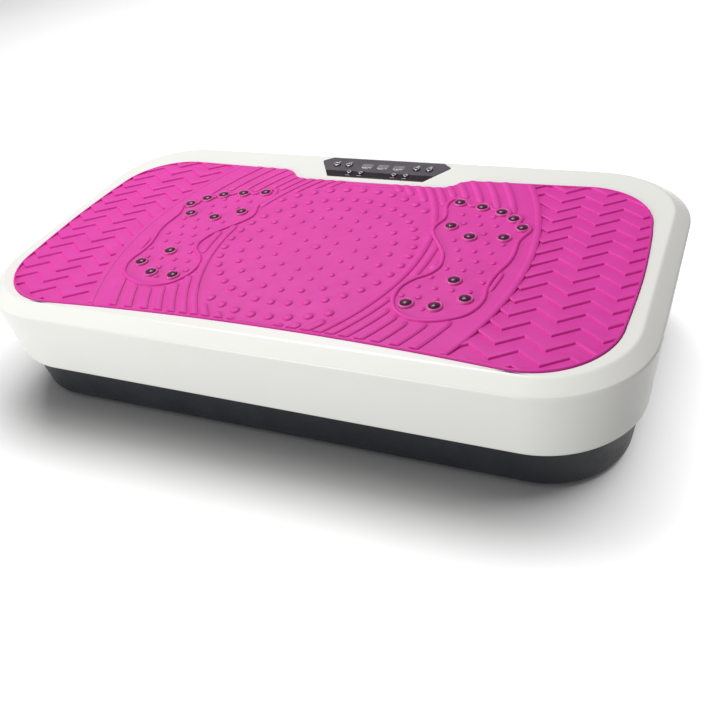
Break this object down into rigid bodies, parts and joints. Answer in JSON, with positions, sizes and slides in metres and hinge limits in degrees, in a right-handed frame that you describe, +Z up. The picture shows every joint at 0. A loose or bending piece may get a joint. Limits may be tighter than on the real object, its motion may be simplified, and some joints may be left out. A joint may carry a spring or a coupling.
{
  "type": "vibration plate",
  "caption": "Rocking vibration plate: ribbed mat with foot studs on a moulded deck, hinged over a dark base with a crank drive.",
  "frame": {"origin": "centre of the bounding box at the bottom of the rubber feet", "axes": "+X to the deck's right end, +Y to the rear edge with the control panel, +Z up"},
  "size_m": [0.67, 0.373, 0.1346],
  "materials": {
    "shell": "satin gloss",
    "mat": "satin",
    "stud": "polished",
    "stud_rim": "polished",
    "painted_steel": "matte",
    "bright_steel": "ground",
    "fastener": "zinc plated",
    "cast_alloy": "cast",
    "motor": "satin",
    "rubber": "matte",
    "board": "satin",
    "brass": "plated",
    "panel": "gloss",
    "panel_window": "gloss",
    "key": "gloss",
    "base": "fine texture",
    "rocker": "gloss"
  },
  "bodies": {
    "base": {"base_tub": "base", "chassis_plate": "painted_steel", "chassis_screws": "fastener", "pivot_blocks": "cast_alloy", "pivot_bearings": "bright_steel", "buffer_posts": "painted_steel", "buffers": "rubber", "drive_blocks": "cast_alloy", "drive_bearings": "bright_steel", "motor_can": "motor", "motor_cradle": "painted_steel", "belt": "rubber", "control_board": "board", "board_posts": "brass", "wire_loom": "rubber", "mains_pocket": "base", "power_inlet": "base", "inlet_pins": "brass", "switch_frame": "base", "feet": "rubber", "foot_screws": "fastener"},
    "deck": {"deck_shell": "shell", "mat": "mat", "stud_domes": "stud", "stud_rims": "stud_rim", "deck_plate": "painted_steel", "deck_screws": "fastener", "pivot_ears": "painted_steel", "pivot_shaft": "bright_steel", "drive_ears": "painted_steel", "drive_pin": "bright_steel", "panel_bezel": "panel", "panel_windows": "panel_window", "panel_board": "board"},
    "crank": {"drive_shaft": "bright_steel", "eccentric": "bright_steel", "driven_pulley": "cast_alloy"},
    "rod": {"con_rod": "cast_alloy", "rod_bearing": "bright_steel", "rod_bush": "rubber"},
    "rotor": {"motor_shaft": "bright_steel", "motor_pulley": "cast_alloy"},
    "rocker": {"power_rocker": "rocker"},
    "key_up": {"key_up": "key"},
    "key_down": {"key_down": "key"},
    "key_start": {"key_start": "key"},
    "key_stop": {"key_stop": "key"},
    "key_mode": {"key_mode": "key"},
    "key_speed": {"key_speed": "key"},
    "key_timer": {"key_timer": "key"},
    "key_program": {"key_program": "key"}
  },
  "joints": [
    {"name": "deck_rock", "type": "hinge", "parent": "base", "child": "deck", "pos_m": [0, 0, 0.07], "axis": [0, 1, 0], "range_deg": [-1.2, 1.2], "stiffness_Nm_per_rad": 4000, "deforming": ["buffers"]},
    {"name": "crank_spin", "type": "hinge", "parent": "base", "child": "crank", "pos_m": [0.12, 0, 0.04], "axis": [0, 1, 0], "continuous": true},
    {"name": "rod_swing", "type": "hinge", "parent": "crank", "child": "rod", "pos_m": [0.1225, 0, 0.04], "axis": [0, 1, 0], "continuous": true, "deforming": ["rod_bush"]},
    {"name": "motor_spin", "type": "hinge", "parent": "base", "child": "rotor", "pos_m": [0.23, 0, 0.045], "axis": [0, 1, 0], "continuous": true},
    {"name": "power_rock", "type": "hinge", "parent": "base", "child": "rocker", "pos_m": [-0.22, 0.15, 0.031], "axis": [1, 0, 0], "range_deg": [0, 16]},
    {"name": "up_press", "type": "slide", "parent": "deck", "child": "key_up", "axis": [0, 0, -1], "range_m": [0, 0.0004], "stiffness_N_per_m": 800},
    {"name": "down_press", "type": "slide", "parent": "deck", "child": "key_down", "axis": [0, 0, -1], "range_m": [0, 0.0004], "stiffness_N_per_m": 800},
    {"name": "start_press", "type": "slide", "parent": "deck", "child": "key_start", "axis": [0, 0, -1], "range_m": [0, 0.0004], "stiffness_N_per_m": 800},
    {"name": "stop_press", "type": "slide", "parent": "deck", "child": "key_stop", "axis": [0, 0, -1], "range_m": [0, 0.0004], "stiffness_N_per_m": 800},
    {"name": "mode_press", "type": "slide", "parent": "deck", "child": "key_mode", "axis": [0, 0, -1], "range_m": [0, 0.0004], "stiffness_N_per_m": 800},
    {"name": "speed_press", "type": "slide", "parent": "deck", "child": "key_speed", "axis": [0, 0, -1], "range_m": [0, 0.0004], "stiffness_N_per_m": 800},
    {"name": "timer_press", "type": "slide", "parent": "deck", "child": "key_timer", "axis": [0, 0, -1], "range_m": [0, 0.0004], "stiffness_N_per_m": 800},
    {"name": "program_press", "type": "slide", "parent": "deck", "child": "key_program", "axis": [0, 0, -1], "range_m": [0, 0.0004], "stiffness_N_per_m": 800}
  ],
  "couplings": [
    {"joint": "rod_swing", "follows": "crank_spin", "ratio": -1},
    {"joint": "motor_spin", "follows": "crank_spin", "ratio": 2}
  ]
}
